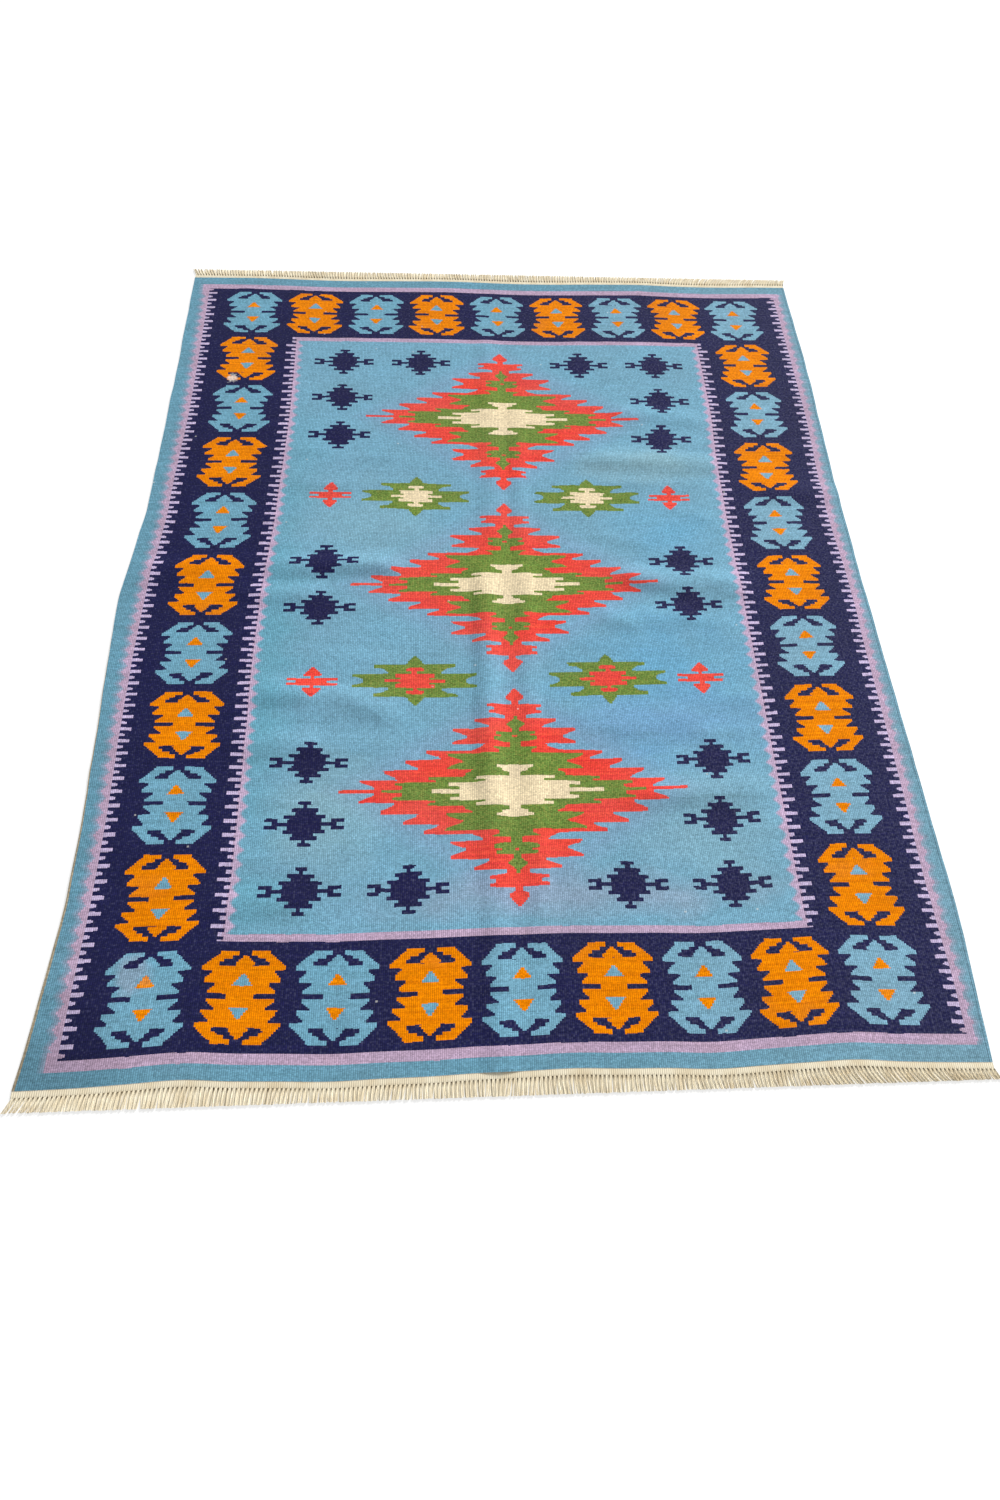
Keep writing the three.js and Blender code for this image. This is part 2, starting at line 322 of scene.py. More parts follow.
# One map gives each point's place in the pattern, in metres from its middle. The other
# runs from selvedge to selvedge and from end to end.
for spare in [layer.name for layer in cloth.data.uv_layers]:
    cloth.data.uv_layers.remove(cloth.data.uv_layers[spare])
cloth.data.uv_layers.new(name="weave")
cloth.data.uv_layers.new(name="OFBake")
for name, places in (("weave", weave_places), ("OFBake", edge_places)):
    uv_map = cloth.data.uv_layers[name]
    for loop in cloth.data.loops:
        uv_map.data[loop.index].uv = places[loop.vertex_index]
cloth.data.uv_layers.active = cloth.data.uv_layers["weave"]
cloth.data.uv_layers["weave"].active_render = True


def give_thickness(sheet, thickness):
    # The sheet gets its thickness, in millimetres, downwards from its upper face.
    bpy.ops.object.select_all(action="DESELECT")
    sheet.select_set(True)
    bpy.context.view_layer.objects.active = sheet
    thick = sheet.modifiers.new("thickness", "SOLIDIFY")
    thick.thickness = thickness / MM_PER_METRE
    thick.offset = -1
    bpy.ops.object.modifier_apply(modifier="thickness")
    bpy.ops.object.shade_smooth_by_angle(angle=math.radians(50))


give_thickness(cloth, CLOTH_THICKNESS)

# The pattern is counted as a weaver counts it: across in ribs, one over each warp pair,
# and lengthwise in rows of three picks each, both 4 mm.
RIB_PITCH = 4
RIBS_PER_METRE = MM_PER_METRE / RIB_PITCH
PICKS_PER_ROW = 3.0
wool = bpy.data.materials.new("dyed_wool")
wool.use_nodes = True
wool_nodes = wool.node_tree.nodes
wool_links = wool.node_tree.links
wool_shader = wool_nodes["Principled BSDF"]


def plug(value, socket):
    if isinstance(value, bpy.types.NodeSocket):
        wool_links.new(value, socket)
    else:
        socket.default_value = value


def calc(operation, a, b=0.0, c=0.0):
    node = wool_nodes.new("ShaderNodeMath")
    node.operation = operation
    for value, socket in zip((a, b, c), node.inputs):
        plug(value, socket)
    return node.outputs[0]


def less(a, b):
    return calc("LESS_THAN", a, b)


def more(a, b):
    return calc("GREATER_THAN", a, b)


def plus(a, b):
    return calc("ADD", a, b)


def minus(a, b):
    return calc("SUBTRACT", a, b)


def times(a, factor, shift=0.0):
    # The value times the factor, and then the shift added.
    return calc("MULTIPLY_ADD", a, factor, shift)


def distance(a, place=0.0):
    return calc("ABSOLUTE", minus(a, place))


def from_nearest(a, step):
    # The distance from the nearest whole number of steps.
    return calc("PINGPONG", a, step / 2)


def within(a):
    # The value, kept between 0 and 1.
    return calc("MINIMUM", calc("MAXIMUM", a, 0.0), 1.0)


def all_of(*masks):
    # Where all the masks hold, and of other values their product.
    joined = masks[0]
    for mask in masks[1:]:
        joined = calc("MULTIPLY", joined, mask)
    return joined


def either(a, b):
    return calc("MAXIMUM", a, b)


def between(low, a, high):
    return all_of(more(a, low), less(a, high))


def choose(mask, when_on, when_off):
    # The node's sockets 2 and 3 take numbers, and 6 and 7 take colours.
    node = wool_nodes.new("ShaderNodeMix")
    plug(mask, node.inputs[0])
    plug(when_off, node.inputs[2])
    plug(when_on, node.inputs[3])
    return node.outputs[0]


def dye(mask, colour, under):
    node = wool_nodes.new("ShaderNodeMix")
    node.data_type = "RGBA"
    plug(mask, node.inputs[0])
    plug(under, node.inputs[6])
    plug(colour, node.inputs[7])
    return node.outputs[2]


# A ramp's colours only reach from 0 to 1, so it holds widths as shares of this many ribs.
WIDEST = 100.0


def chart(rows_out, reach, steps):
    # A motif's half widths in ribs, for rows out from its own middle up to the reach: the
    # steps are (row, width, ...). Between two steps a width slopes, and a change within a
    # fifth of a row is a straight cut. It is mirrored left, right, up and down.
    ramp = wool_nodes.new("ShaderNodeValToRGB")
    plug(calc("DIVIDE", rows_out, reach), ramp.inputs[0])
    elements = ramp.color_ramp.elements
    while len(elements) > 1:
        elements.remove(elements[-1])
    for i, step in enumerate(steps):
        place = step[0] / reach
        element = elements[0] if i == 0 else elements.new(place)
        element.position = place
        widths = [width / WIDEST for width in step[1:]] + [0, 0, 0]
        element.color = (*widths[:3], 1)
    parts = wool_nodes.new("ShaderNodeSeparateColor")
    wool_links.new(ramp.outputs[0], parts.inputs[0])
    return [calc("MULTIPLY", out, WIDEST) for out in parts.outputs[:len(steps[0]) - 1]]


def point(x, y, z=0.0):
    node = wool_nodes.new("ShaderNodeCombineXYZ")
    for value, socket in zip((x, y, z), node.inputs):
        plug(value, socket)
    return node.outputs[0]


def speckle(place, per_rib, per_row, seed, detail=2.0, colour=False):
    # Soft noise at a place, with about so many spots to a rib and to a row.
    node = wool_nodes.new("ShaderNodeTexNoise")
    node.inputs["Scale"].default_value = 1.0
    node.inputs["Detail"].default_value = detail
    plug(point(times(place[0], per_rib), times(place[1], per_row), seed), node.inputs["Vector"])
    return node.outputs["Color" if colour else "Fac"]


def scatter(x, y):
    # A value of its own, from 0 to 1, for each whole x and y.
    node = wool_nodes.new("ShaderNodeTexWhiteNoise")
    node.noise_dimensions = "2D"
    plug(point(x, y), node.inputs["Vector"])
    return node.outputs["Value"]


def map_place(name):
    uv_node = wool_nodes.new("ShaderNodeUVMap")
    uv_node.uv_map = name
    parts = wool_nodes.new("ShaderNodeSeparateXYZ")
    wool_links.new(uv_node.outputs[0], parts.inputs[0])
    return parts.outputs[0], parts.outputs[1]


# Yarn dyes, as the wool is seen in daylight.
FIELD_BLUE = (0.178, 0.369, 0.502, 1)
BAND_BLUE = (0.139, 0.309, 0.415, 1)
BAND_BLUE_LIT = (0.168, 0.325, 0.422, 1)
MOTIF_BLUE = (0.158, 0.352, 0.475, 1)
MOTIF_BLUE_LIT = (0.198, 0.376, 0.50, 1)
NAVY = (0.0145, 0.0155, 0.064, 1)
DUST_AND_SHEEN = (0.36, 0.37, 0.50, 1)
ORANGE = (0.765, 0.214, 0.0, 1)
ROSE = (0.433, 0.304, 0.405, 1)
LILAC = (0.48, 0.37, 0.535, 1)
FRAME_LILAC = (0.487, 0.368, 0.522, 1)
TOOTH_LILAC = (0.51, 0.425, 0.625, 1)
CORAL = (0.75, 0.080, 0.062, 1)
GREEN = (0.150, 0.245, 0.054, 1)
CREAM = (0.775, 0.648, 0.437, 1)

pattern_x, pattern_y = map_place("weave")
rib = times(pattern_x, RIBS_PER_METRE)
row_fine = times(pattern_y, RIBS_PER_METRE)
rib_number = calc("FLOOR", rib)
pick_number = calc("FLOOR", times(row_fine, PICKS_PER_ROW))
rib_middle = plus(rib_number, 0.5)
row_middle = times(pick_number, 1 / PICKS_PER_ROW, 0.5 / PICKS_PER_ROW)
running = (rib, row_fine)
counted = (rib_middle, row_middle)

# Places of the field where the blue has stayed deeper or has washed paler, in ribs and
# rows from the middle, with the size of each across and along.
DEEP_BLUE = (0.142, 0.365, 0.555, 1)
DEEP_TEAL = (0.128, 0.345, 0.455, 1)
PALE_BLUE = (0.262, 0.425, 0.482, 1)
LILAC_BLUE = (0.170, 0.320, 0.535, 1)
FIELD_WASHES = (
    {"x": 90, "y": -66, "wide": 78, "long": 62, "share": 0.8, "colour": DEEP_BLUE},
    {"x": 106, "y": 38, "wide": 46, "long": 34, "share": 0.55, "colour": DEEP_BLUE},
    {"x": -142, "y": -60, "wide": 26, "long": 160, "share": 0.75, "colour": DEEP_TEAL},
    {"x": -132, "y": -196, "wide": 34, "long": 26, "share": 0.6, "colour": DEEP_TEAL},
    {"x": -140, "y": 90, "wide": 26, "long": 70, "share": 0.35, "colour": DEEP_TEAL},
    {"x": -100, "y": -146, "wide": 40, "long": 40, "share": 0.5, "colour": PALE_BLUE},
    {"x": 96, "y": 96, "wide": 62, "long": 20, "share": 0.6, "colour": PALE_BLUE},
    {"x": -84, "y": 46, "wide": 60, "long": 40, "share": 0.3, "colour": PALE_BLUE},
    {"x": 108, "y": -160, "wide": 50, "long": 44, "share": 0.3, "colour": PALE_BLUE},
    {"x": 84, "y": -96, "wide": 78, "long": 30, "share": 0.55, "colour": LILAC_BLUE},
    {"x": 20, "y": -192, "wide": 120, "long": 16, "share": 0.25, "colour": ROSE},
)
wash_rim = speckle(counted, 0.03, 0.05, seed=47.0, detail=3.0)


def blot(place, at, size, rim, fray, firmness):
    # A patch about one place, 1 at its middle and 0 past its rim, which noise frays.
    across = calc("DIVIDE", minus(place[0], at[0]), size[0])
    along = calc("DIVIDE", minus(place[1], at[1]), size[1])
    away = calc("SQRT", times(across, across, all_of(along, along)))
    reach = plus(minus(1.0, away), times(rim, fray, -fray / 2))
    return within(times(reach, firmness))


def soft_patch(wash):
    place, size = (wash["x"], wash["y"]), (wash["wide"], wash["long"])
    return blot(counted, place, size, wash_rim, fray=1.2, firmness=1.3)


def wavered(count, noise_part, reach):
    return times(noise_part, reach, minus(count, reach / 2))


# The weaver's counting wavers a little from motif to motif, less along the bands. Motifs
# are placed by x and y, or by ax and ay where all four quarters are alike, and the bands
# by even_x and even_y.
WAVER_ACROSS, WAVER_ALONG, BAND_WAVER = 2.4, 1.8, 0.9
waver_noise = speckle(counted, 0.04, 0.05, seed=0.0, detail=1.0, colour=True)
waver_parts = wool_nodes.new("ShaderNodeSeparateColor")
wool_links.new(waver_noise, waver_parts.inputs[0])
x = wavered(rib_middle, waver_parts.outputs[0], WAVER_ACROSS)
y = wavered(row_middle, waver_parts.outputs[1], WAVER_ALONG)
ax = distance(x)
ay = distance(y)
even_x = distance(rib_middle)
even_y = distance(wavered(row_middle, waver_parts.outputs[2], BAND_WAVER))

# Side combs: rows of long and short teeth on the navy's side, a soft zigzag on the other.
# They are charted for one step of the comb, and start higher on the outer band.
COMB_STEP = 7.56
BETWEEN_COMBS = 180.0
comb_start = choose(more(ax, BETWEEN_COMBS), 0.95, 0.05)
comb_place = calc("FRACT", times(y, 1 / COMB_STEP, comb_start))
tooth, inner_zigzag, outer_zigzag = chart(comb_place, 1.0, [
    (0.0, 6.2, 3.3, 2.6), (0.12, 6.0, 2.4, 1.9), (0.135, 0.0, 2.2, 1.8), (0.25, 0.0, 1.0, 1.1),
    (0.37, 0.0, 0.4, 0.5), (0.385, 2.2, 0.3, 0.4), (0.43, 2.8, 0.0, 0.0), (0.57, 2.8, 0.0, 0.0),
    (0.615, 2.2, 0.3, 0.4), (0.63, 0.0, 0.4, 0.5), (0.75, 0.0, 1.0, 1.1), (0.865, 0.0, 2.2, 1.8),
    (0.88, 6.0, 2.4, 1.9), (1.0, 6.2, 3.3, 2.6)])

# Half widths in ribs and half lengths in rows of the field and the bands around it. The
# outer pink is wider where it closes the navy's ends.
FIELD_WIDE, FIELD_LONG = 145.3, 208.4
INNER_PINK_WIDE, INNER_PINK_LONG = 147.5, 212.0
NAVY_WIDE, NAVY_LONG = 213.3, 262.4
OUTER_PINK_WIDE, OUTER_PINK_LONG = 215.6, 266.8
CLOSING_PINK_WIDE, CLOSING_PINK_FROM = 218.6, 258.6
INNER_TEETH_FROM, INNER_TEETH_LONG = 148.0, 207.0
OUTER_TEETH_TO, OUTER_TEETH_LONG = 213.0, 258.0
CORNER_TOOTH = 3.0
inner_tooth = choose(more(even_y, INNER_TEETH_LONG), calc("MINIMUM", tooth, CORNER_TOOTH), tooth)
# The outer band stands further out on the right than on the left.
RIGHT_OUT, LEFT_OUT = 2.0, 0.8
comb_out = choose(more(x, 0.0), RIGHT_OUT, LEFT_OUT)
pink_edge = plus(plus(outer_zigzag, comb_out), OUTER_PINK_WIDE)
pink_edge = either(pink_edge, times(more(even_y, CLOSING_PINK_FROM), CLOSING_PINK_WIDE))
navy_edge = minus(plus(comb_out, NAVY_WIDE), tooth)
band_pink = all_of(less(even_x, pink_edge), less(even_y, OUTER_PINK_LONG))
band_navy = all_of(less(even_x, navy_edge), less(even_y, NAVY_LONG))
frame_pink = all_of(less(even_x, plus(inner_tooth, INNER_PINK_WIDE)), less(even_y, INNER_PINK_LONG))
field_reach = minus(minus(FIELD_WIDE, inner_zigzag), even_x)
field = all_of(within(times(field_reach, 0.55, 0.5)), less(even_y, FIELD_LONG))

pink = dye(speckle(counted, 0.05, 0.12, seed=4.0), LILAC, ROSE)
# The combs' teeth are the bluest of it, and then the inner frame's sides.
in_frame = all_of(less(even_x, INNER_TEETH_FROM), less(even_y, INNER_TEETH_LONG))
in_teeth = between(INNER_TEETH_FROM, even_x, plus(comb_out, OUTER_TEETH_TO))
pink = dye(in_frame, FRAME_LILAC, pink)
pink = dye(all_of(in_teeth, less(even_y, OUTER_TEETH_LONG)), TOOTH_LILAC, pink)
# Pale dust and a painted sheen on the ribs show on the navy, a little more towards the right.
dust_and_sheen_lift = times(rib_middle, 0.00011, -0.156)
dust_and_sheen = within(times(speckle(counted, 0.8, 0.8, seed=53.0, detail=1.0), 0.34, dust_and_sheen_lift))
navy_yarn = dye(dust_and_sheen, DUST_AND_SHEEN, NAVY)
# The pink has run a little into the blue beside it.
RUN_TO = 267.0
run = calc("MAXIMUM", minus(1.0, times(minus(even_x, pink_edge), 0.28)), 0.0)
run = all_of(run, less(even_y, RUN_TO), 0.42)
# The outermost blue is painted lighter towards the right, as painted light from that side.
cloth_colour = dye(within(times(x, 1 / 160, -0.2)), BAND_BLUE_LIT, BAND_BLUE)
cloth_colour = dye(run, pink, cloth_colour)
cloth_colour = dye(band_pink, pink, cloth_colour)
cloth_colour = dye(band_navy, navy_yarn, cloth_colour)
cloth_colour = dye(frame_pink, pink, cloth_colour)
cloth_colour = dye(field, FIELD_BLUE, cloth_colour)
for wash in FIELD_WASHES:
    cloth_colour = dye(all_of(soft_patch(wash), field, wash["share"]), wash["colour"], cloth_colour)

# Turtle motifs of the navy border, blue and orange by turns: a row along each end and
# a row down each side. A slot between beak and claw cuts into the shell, which holds a
# triangle of the other dye.
TURTLE_WIDE = 45.0
TURTLE_LONG = 47.52
SIDE_ROW = 4 * TURTLE_WIDE
END_ROW = 5 * TURTLE_LONG
END_ROW_FROM = 213.8
SIDE_ROW_FROM, SIDE_ROW_TO = 154.0, 204.0
at_end = more(ay, END_ROW_FROM)
turtle_x = choose(at_end, from_nearest(x, TURTLE_WIDE), distance(ax, SIDE_ROW))
turtle_y = choose(at_end, distance(ay, END_ROW), from_nearest(y, TURTLE_LONG))
orange_end = more(from_nearest(x, 2 * TURTLE_WIDE), TURTLE_WIDE / 2)
orange_side = less(from_nearest(y, 2 * TURTLE_LONG), TURTLE_LONG / 2)
orange_turtle = choose(at_end, orange_end, orange_side)
shell = chart(turtle_y, 24.0, [
    (0.0, 6.4), (1.12, 6.4), (1.2, 15.8), (2.5, 15.8), (3.1, 15.0), (4.0, 13.9), (4.9, 12.4),
    (6.1, 12.2), (6.2, 17.8), (7.9, 17.8), (8.6, 17.0), (10.2, 15.2), (10.4, 14.6), (11.6, 14.6),
    (11.7, 20.1), (13.3, 20.1), (14.2, 19.0), (16.0, 16.9), (17.0, 15.8), (18.0, 14.9),
    (19.4, 13.0), (19.6, 12.5), (21.1, 12.3), (21.2, 0.0)])[0]
beak, claw, triangle = chart(turtle_y, 24.0, [
    (0.0, 0.0, 0.0, 0.0), (4.8, 0.0, 0.0, 0.0), (4.9, 0.0, 0.0, 4.7), (7.4, 0.0, 0.0, 2.6),
    (10.0, 0.0, 0.0, 0.7), (10.1, 0.0, 0.0, 0.0), (13.8, 0.0, 0.0, 0.0), (13.9, 4.9, 11.8, 0.0),
    (15.8, 4.4, 11.8, 0.0), (15.9, 3.4, 9.8, 0.0), (17.3, 2.8, 9.8, 0.0), (17.4, 1.9, 6.4, 0.0),
    (18.9, 0.9, 6.2, 0.0), (19.0, 0.0, 2.9, 0.0), (24.0, 0.0, 2.9, 0.0)])
in_border = all_of(band_navy, less(ax, SIDE_ROW_TO), either(at_end, more(ax, SIDE_ROW_FROM)))
in_shell = all_of(in_border, less(turtle_x, shell))
in_triangle = all_of(in_shell, less(turtle_x, triangle))
turtle = all_of(in_shell, minus(1.0, between(beak, turtle_x, claw)))
# Their blue is painted lighter towards the right, as painted light from that side.
motif_blue = dye(within(times(x, 1 / 190, 0.25)), MOTIF_BLUE_LIT, MOTIF_BLUE)
cloth_colour = dye(turtle, dye(orange_turtle, ORANGE, motif_blue), cloth_colour)
cloth_colour = dye(in_triangle, dye(orange_turtle, motif_blue, ORANGE), cloth_colour)

# Hooked lozenges in navy. Each quarter of the field has one near the middle, a column of
# three towards its corner, and one more beside the last of them.
MIDDLE_LOZENGE, MIDDLE_LOZENGE_TO = 16.6, 40.0
FIRST_LOZENGE, LOZENGE_STEP = 118.5, 34.56
COLUMN_FROM, COLUMN_TO = 101.0, 204.0
OUTER_COLUMN, INNER_COLUMN, INNER_FROM = 112.0, 57.0, 171.0
near_middle = less(ay, MIDDLE_LOZENGE_TO)
lozenge_y = choose(near_middle, distance(ay, MIDDLE_LOZENGE),
                   from_nearest(minus(ay, FIRST_LOZENGE), LOZENGE_STEP))
# The first far one on the right stands two ribs nearer the middle than its twin.
pulled_in = all_of(more(x, 0.0), between(100.0, y, 136.0))
outer_x = distance(times(pulled_in, 2.0, ax), OUTER_COLUMN)
inner_x = distance(ax, INNER_COLUMN)
lozenge_x = choose(more(ay, INNER_FROM), calc("MINIMUM", outer_x, inner_x), outer_x)
lozenge, hook_from, hook_to = chart(lozenge_y, 20.0, [
    (0.0, 17.2, 99.0, 0.0), (0.85, 17.2, 99.0, 0.0), (0.9, 17.2, 14.2, 20.9),
    (0.95, 17.2, 14.2, 20.9), (1.0, 8.6, 14.2, 20.9), (2.9, 8.6, 14.2, 20.9),
    (2.95, 8.6, 99.0, 0.0), (3.0, 8.6, 99.0, 0.0), (3.1, 11.0, 99.0, 0.0), (5.0, 11.0, 99.0, 0.0),
    (5.1, 5.3, 99.0, 0.0), (6.5, 5.3, 99.0, 0.0), (6.6, 7.1, 99.0, 0.0), (8.6, 7.1, 99.0, 0.0),
    (8.7, 1.25, 99.0, 0.0), (10.2, 1.25, 99.0, 0.0), (10.3, 3.4, 99.0, 0.0), (12.1, 3.4, 99.0, 0.0),
    (12.2, 0.0, 99.0, 0.0)])
lozenge_rows = either(near_middle, between(COLUMN_FROM, ay, COLUMN_TO))
in_lozenge = either(less(lozenge_x, lozenge), between(hook_from, lozenge_x, hook_to))
cloth_colour = dye(all_of(field, lozenge_rows, in_lozenge), navy_yarn, cloth_colour)

# Stars beside the gaps between the medallions: green, with a coral or a cream heart.
STAR_ROW = 67.8
STAR_NEAR, STAR_FAR_LEFT, STAR_FAR_RIGHT = 56.0, 57.8, 55.3
star_y = distance(ay, STAR_ROW)
star_far = choose(more(x, 0.0), STAR_FAR_RIGHT, STAR_FAR_LEFT)
star_x = distance(ax, choose(more(y, 0.0), star_far, STAR_NEAR))
star, heart = chart(star_y, 18.0, [
    (0.0, 29.0, 16.6), (0.85, 29.0, 16.6), (0.95, 29.5, 8.0), (1.9, 31.0, 8.0), (2.0, 31.5, 10.8),
    (2.8, 35.0, 10.8), (4.4, 35.0, 10.8), (4.5, 15.0, 1.3), (6.0, 15.4, 1.3), (6.1, 16.0, 5.0),
    (7.6, 18.0, 5.0), (7.7, 18.5, 4.2), (8.2, 23.0, 3.8), (8.3, 23.2, 0.0), (10.3, 23.4, 0.0),
    (10.4, 4.7, 0.0), (12.4, 3.4, 0.0), (15.4, 0.6, 0.0), (15.5, 0.0, 0.0)])
in_star = all_of(field, less(star_x, star))
in_heart = all_of(field, less(star_x, heart))
cloth_colour = dye(in_star, GREEN, cloth_colour)
cloth_colour = dye(in_heart, dye(more(y, 0.0), CREAM, CORAL), cloth_colour)

# Small coral crosses outside the stars.
CROSS_ROW = 68.2
CROSS_LEFT, CROSS_NEAR_RIGHT, CROSS_FAR_RIGHT = 113.2, 112.0, 110.2
cross_y = distance(ay, CROSS_ROW)
cross_right = choose(more(y, 0.0), CROSS_FAR_RIGHT, CROSS_NEAR_RIGHT)
cross_x = distance(ax, choose(more(x, 0.0), cross_right, CROSS_LEFT))
cross = chart(cross_y, 12.0, [
    (0.0, 8.0), (0.75, 8.0), (0.85, 13.5), (2.4, 13.5), (2.5, 1.3), (4.0, 1.3), (4.1, 4.9),
    (5.6, 4.6), (7.4, 3.0), (9.2, 1.2), (9.8, 0.7), (9.9, 0.0)])[0]
cloth_colour = dye(all_of(field, less(cross_x, cross)), CORAL, cloth_colour)

# Three medallions along the middle, coral outside, then green, with a cream heart. Each
# is charted in two halves: the rows next to its middle, and those towards its tip. A
# chart takes 32 steps at most, so the green's next rows have one of their own.
MEDALLION_STEP = 2 * STAR_ROW
MEDALLIONS_TO = 203.0
TIP_FROM = 32.0
medal_y = from_nearest(y, MEDALLION_STEP)
medal_x = calc("MULTIPLY", ax, 1.01)
inner_half = less(medal_y, TIP_FROM)
tip_y = minus(medal_y, TIP_FROM)
coral_in = chart(medal_y, TIP_FROM, [
    (0.0, 95.5), (0.9, 95.5), (1.0, 77.0), (2.2, 77.0), (5.2, 84.5), (6.4, 84.5), (6.55, 65.0),
    (8.2, 66.0), (10.8, 72.5), (12.7, 72.5), (12.85, 53.0), (14.2, 53.6), (16.7, 61.0), (18.4, 61.0),
    (18.55, 42.0), (19.9, 42.6), (21.9, 49.5), (23.7, 49.5), (23.8, 24.5), (26.0, 18.5),
    (27.7, 17.0), (27.85, 35.0), (29.5, 34.5), (30.5, 31.0), (31.6, 27.2), (32.0, 27.0)])[0]
coral_out = chart(tip_y, TIP_FROM, [
    (0.0, 27.0), (1.1, 27.0), (2.0, 29.6), (4.0, 35.0), (5.6, 35.0), (5.75, 15.0), (7.2, 15.6),
    (9.7, 23.0), (11.4, 23.0), (11.55, 6.0), (13.5, 6.0), (14.2, 9.5), (14.9, 15.6), (16.4, 15.6),
    (16.6, 12.2), (18.4, 12.2), (18.8, 15.6), (20.5, 15.6), (20.6, 2.0), (22.4, 2.0), (24.2, 5.5),
    (25.4, 5.5), (28.0, 3.0), (30.4, 0.6), (30.6, 0.0)])[0]
green_in, cream_in = chart(medal_y, TIP_FROM, [
    (0.0, 72.5, 45.0), (0.8, 72.5, 45.0), (0.9, 60.5, 45.0), (1.15, 60.5, 45.0), (1.25, 60.5, 29.5),
    (3.0, 60.5, 29.5), (3.1, 61.0, 35.5), (3.7, 65.5, 35.5), (5.1, 65.5, 35.5), (5.2, 65.5, 16.0),
    (5.5, 43.0, 16.0), (6.5, 43.0, 16.0), (6.6, 46.5, 21.5), (8.3, 47.0, 21.5), (8.5, 28.0, 3.0),
    (10.7, 27.0, 3.0), (11.4, 24.0, 7.0), (12.6, 23.5, 7.0), (12.7, 37.5, 7.0), (13.3, 37.5, 10.0),
    (14.4, 36.0, 10.0), (14.7, 35.2, 10.0), (14.8, 35.0, 0.0), (16.9, 28.5, 0.0), (17.8, 29.0, 0.0),
    (20.2, 37.0, 0.0), (21.9, 38.0, 0.0), (22.0, 8.5, 0.0), (23.7, 8.8, 0.0), (25.6, 13.0, 0.0),
    (25.7, 3.2, 0.0), (28.9, 3.2, 0.0)])
green_next = chart(medal_y, TIP_FROM, [
    (0.0, 0.0), (28.9, 0.0), (29.0, 6.5), (30.0, 11.4), (32.0, 11.8)])[0]
green_out, dot = chart(tip_y, TIP_FROM, [
    (0.0, 11.8, 0.0), (0.2, 11.8, 1.4), (0.35, 8.0, 1.4), (1.3, 8.0, 1.4), (1.4, 11.0, 0.0),
    (3.3, 11.0, 0.0), (3.4, 1.7, 0.0), (5.2, 1.7, 0.0), (7.8, 4.8, 0.0), (8.6, 4.8, 0.0),
    (11.0, 1.6, 0.0), (13.5, 0.6, 0.0), (13.6, 0.0, 0.0)])
by_medallions = all_of(field, less(ay, MEDALLIONS_TO))
in_coral = all_of(by_medallions, less(medal_x, choose(inner_half, coral_in, coral_out)))
green_width = choose(inner_half, either(green_in, green_next), green_out)
in_green = all_of(in_coral, less(ax, green_width))
in_dot = all_of(in_coral, minus(1.0, inner_half), less(ax, dot))
in_cream = all_of(in_coral, inner_half, less(ax, cream_in))
# Some of their coral has run into the blue around them and left a lilac cast.
LILAC_CAST = (0.30, 0.29, 0.50, 1)
CAST_WIDE, CAST_LONG = 88.0, 58.0
cast_rim = minus(plus(calc("DIVIDE", ax, CAST_WIDE), calc("DIVIDE", medal_y, CAST_LONG)), 1.0)
cast = calc("MAXIMUM", minus(1.0, times(distance(cast_rim), 4.2)), 0.0)
cloth_colour = dye(all_of(cast, 0.17, by_medallions), LILAC_CAST, cloth_colour)
cloth_colour = dye(in_coral, CORAL, cloth_colour)
cloth_colour = dye(in_green, GREEN, cloth_colour)
cloth_colour = dye(in_dot, CORAL, cloth_colour)
cloth_colour = dye(in_cream, CREAM, cloth_colour)
# The near medallion's right cream arm is woven longer than the others.
LONG_ARM = 49.5
long_arm = all_of(less(medal_y, 1.2), between(-170.0, y, -100.0), between(0.0, x, LONG_ARM))
cloth_colour = dye(long_arm, CREAM, cloth_colour)

# Yarn: each dye lot streaks along its weft rows, each pick is a little lighter or
# darker than the next, and the hollows between the ribs are painted darker as shade.
BROWN_FLECK = (0.24, 0.13, 0.045, 1)
FIELD_STREAKS, OTHER_STREAKS = 0.42, 0.66
PATCH_DEPTH, SLUB_DEPTH = 0.26, 0.22
GREEN_GRAIN, ORANGE_GRAIN, OTHER_GRAIN = 0.74, 0.26, 0.38
streak = speckle(running, 0.03, 0.9, seed=11.0, detail=3.0)
patch = speckle(running, 0.022, 0.03, seed=17.0, detail=3.0)
grain = scatter(rib_number, pick_number)
slub = scatter(rib_number, calc("FLOOR", times(row_fine, 0.8)))
rib_side = distance(times(calc("FRACT", rib), 2.0, -1.0))
rib_arch = minus(1.0, calc("POWER", rib_side, 2.4))


def vary(noise_part, depth):
    # A tone about 1, darker or lighter by the noise.
    return times(minus(noise_part, 0.5), depth, 1.0)


# The green wool is the coarsest, flecked with brown, and the orange the finest.
green_yarn = calc("MAXIMUM", minus(either(in_star, in_green), either(in_heart, in_cream)), 0.0)
orange_yarn = all_of(turtle, orange_turtle)
grain_depth = choose(green_yarn, GREEN_GRAIN, choose(orange_yarn, ORANGE_GRAIN, OTHER_GRAIN))
cloth_colour = dye(all_of(green_yarn, more(grain, 0.78), 0.30), BROWN_FLECK, cloth_colour)
tone = all_of(vary(streak, choose(field, FIELD_STREAKS, OTHER_STREAKS)), vary(patch, PATCH_DEPTH))
tone = all_of(tone, vary(grain, grain_depth), vary(slub, SLUB_DEPTH))
# Painted shade: each rib is darker towards the hollows at its sides.
tone = all_of(tone, times(rib_arch, 0.30, 0.755))
# The near left corner is painted darker, as painted shade where the light falls off.
CORNER_SHADE = (
    {"x": -224, "y": -276, "wide": 58, "long": 46, "share": 0.28},
    {"x": -240, "y": -180, "wide": 44, "long": 110, "share": 0.13},
)
for shade_spot in CORNER_SHADE:
    tone = all_of(tone, times(soft_patch(shade_spot), -shade_spot["share"], 1.0))
